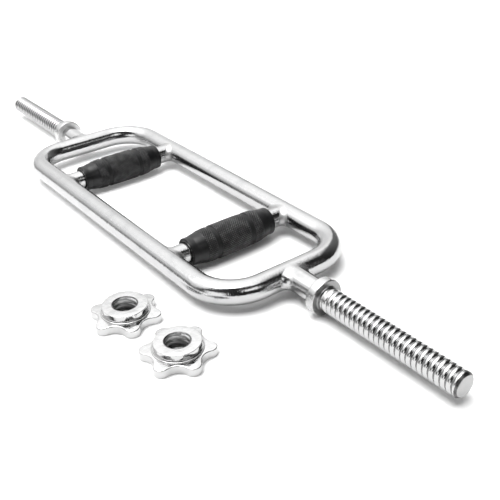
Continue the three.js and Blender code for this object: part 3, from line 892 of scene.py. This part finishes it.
def floor():
    """A wide pale floor, whose glow washes out the far shadows as in the photograph."""
    mesh = bpy.data.meshes.new("floor")
    corners = [(-1, -1), (1, -1), (1, 1), (-1, 1)]
    mesh.from_pydata([(FLOOR_HALF * x, FLOOR_HALF * y, 0) for x, y in corners], [], [(0, 1, 2, 3)])
    material, tree, shader, place = new_material("floor_paint")
    along = maths(tree, "SUBTRACT", split_axes(tree, place)["X"], GLOW_START)
    glow = ramp(tree, along, [(x - GLOW_START, value) for x, value in FLOOR_GLOW])
    feed(tree, shader.inputs["Base Color"], grey(FLOOR_SHADE))
    feed(tree, shader.inputs["Roughness"], 0.9)
    feed(tree, shader.inputs["Specular IOR Level"], 0.1)
    feed(tree, shader.inputs["Emission Color"], grey(1))
    feed(tree, shader.inputs["Emission Strength"], glow)
    mesh.materials.append(material)
    surface = bpy.data.objects.new("floor", mesh)
    scene.collection.objects.link(surface)


# The camera: place and lens in millimetres, angles in radians, clip distances in metres
CAMERA_PLACE = (705.34, -361.16, 421.63)
CAMERA_HEADING, CAMERA_DIP, CAMERA_ROLL = 2.506, 0.533, -0.036
CAMERA_LENS, CAMERA_SENSOR = 55.43, 36
CAMERA_CLIP = (0.05, 100)


def camera():
    """The photograph's camera, from the fit to its edges."""
    ahead = Vector((
        math.cos(CAMERA_HEADING) * math.cos(CAMERA_DIP),
        math.sin(CAMERA_HEADING) * math.cos(CAMERA_DIP),
        -math.sin(CAMERA_DIP),
    ))
    right = Vector((math.sin(CAMERA_HEADING), -math.cos(CAMERA_HEADING), 0))
    up = right.cross(ahead)
    rolled_right = right * math.cos(CAMERA_ROLL) + up * math.sin(CAMERA_ROLL)
    rolled_up = up * math.cos(CAMERA_ROLL) - right * math.sin(CAMERA_ROLL)
    data = bpy.data.cameras.new("camera")
    data.lens = CAMERA_LENS
    data.sensor_width = CAMERA_SENSOR
    data.clip_start, data.clip_end = CAMERA_CLIP
    eye = bpy.data.objects.new("camera", data)
    turn = Matrix((rolled_right, rolled_up, -ahead)).transposed().to_4x4()
    eye.matrix_world = Matrix.Translation(Vector(CAMERA_PLACE) * MM) @ turn
    scene.collection.objects.link(eye)
    scene.camera = eye


camera()
studio()
floor()
scene.view_settings.view_transform = "Standard"

# Chrome finishes as light and dark tone, polish, depths of ripple, marks and lines, and the share of painted
# shade in thread grooves
GREY, SHADE = (0.47, 0.47, 0.472, 1), (0.42, 0.422, 0.425, 1)
bar_chrome = chrome("bar_chrome", GREY, SHADE, (0.05, 0.14), 0.08, 0.18, 0.05)
bead_chrome = chrome("bead_chrome", GREY, SHADE, (0.2, 0.32), 0.06, 0.03, 0.01)
fillet_chrome = chrome("fillet_chrome", grey(0.42), grey(0.36), (0.36, 0.48), 0.05, 0.02, 0.01)
# The rods paint shade into their thread grooves, the far rod more of it and from shallower down
rod_finishes = {
    "near": chrome("near_rod_chrome", grey(0.5), SHADE, (0.05, 0.14), 0.08, 0.05, 0.02, 0.6),
    "far": chrome("far_rod_chrome", grey(0.55), SHADE, (0.05, 0.14), 0.08, 0.05, 0.02, 0.96, 0.27),
}
turned_chrome = chrome("turned_chrome", grey(0.5), grey(0.44), (0.22, 0.34), 0.08, 0.05, 0.02)
# Flange faces: a painted dark reflection on the front and a painted bright reflection on the back
painted_dark_face_chrome = chrome("painted_dark_face_chrome", grey(0.27), grey(0.22), (0.3, 0.42), 0.08, 0.05, 0.02)
painted_bright_face_chrome = chrome("painted_bright_face_chrome", grey(0.88), grey(0.8), (0.45, 0.55), 0.06, 0.03, 0.02)
ground_chrome = chrome("ground_chrome", grey(0.4), grey(0.36), (0.3, 0.42), 0.1, 0.05, 0.02)
cast_chrome = chrome("cast_chrome", grey(0.53), grey(0.43), (0.05, 0.18), 0.4, 0.08, 0.02)
# The bores are painted darker towards their foot, as painted shade
bore_steel = dull_steel("bore_steel", 0.5, 0.6, 8.5)
# Near-black steel painted on the rods' end chamfers and the bores' mouths, a painted dark reflection
dark_painted_steel = dull_steel("dark_painted_steel", 0.07, 0.16)
grip_rubber = rubber("black_rubber")

rail("left_rail", -1, bar_chrome)
rail("right_rail", 1, bar_chrome)
for end, direction in (("near", 1), ("far", -1)):
    end_bow(f"{end}_end_bow", direction, bar_chrome)
    crossbar(f"{end}_crossbar", direction, bar_chrome)
    crossbar_weld(f"{end}_crossbar_left_weld", direction, -1, fillet_chrome)
    crossbar_weld(f"{end}_crossbar_right_weld", direction, 1, fillet_chrome)
    neck_weld(f"{end}_neck_weld", direction, bead_chrome)
    threaded_rod(f"{end}_threaded_rod", direction, [rod_finishes[end], ground_chrome, dark_painted_steel])
    flange(f"{end}_flange", direction, [turned_chrome, painted_dark_face_chrome, painted_bright_face_chrome])
    grip(f"{end}_grip", direction, grip_rubber)
    collar(f"{end}_collar", [cast_chrome, bore_steel, dark_painted_steel])
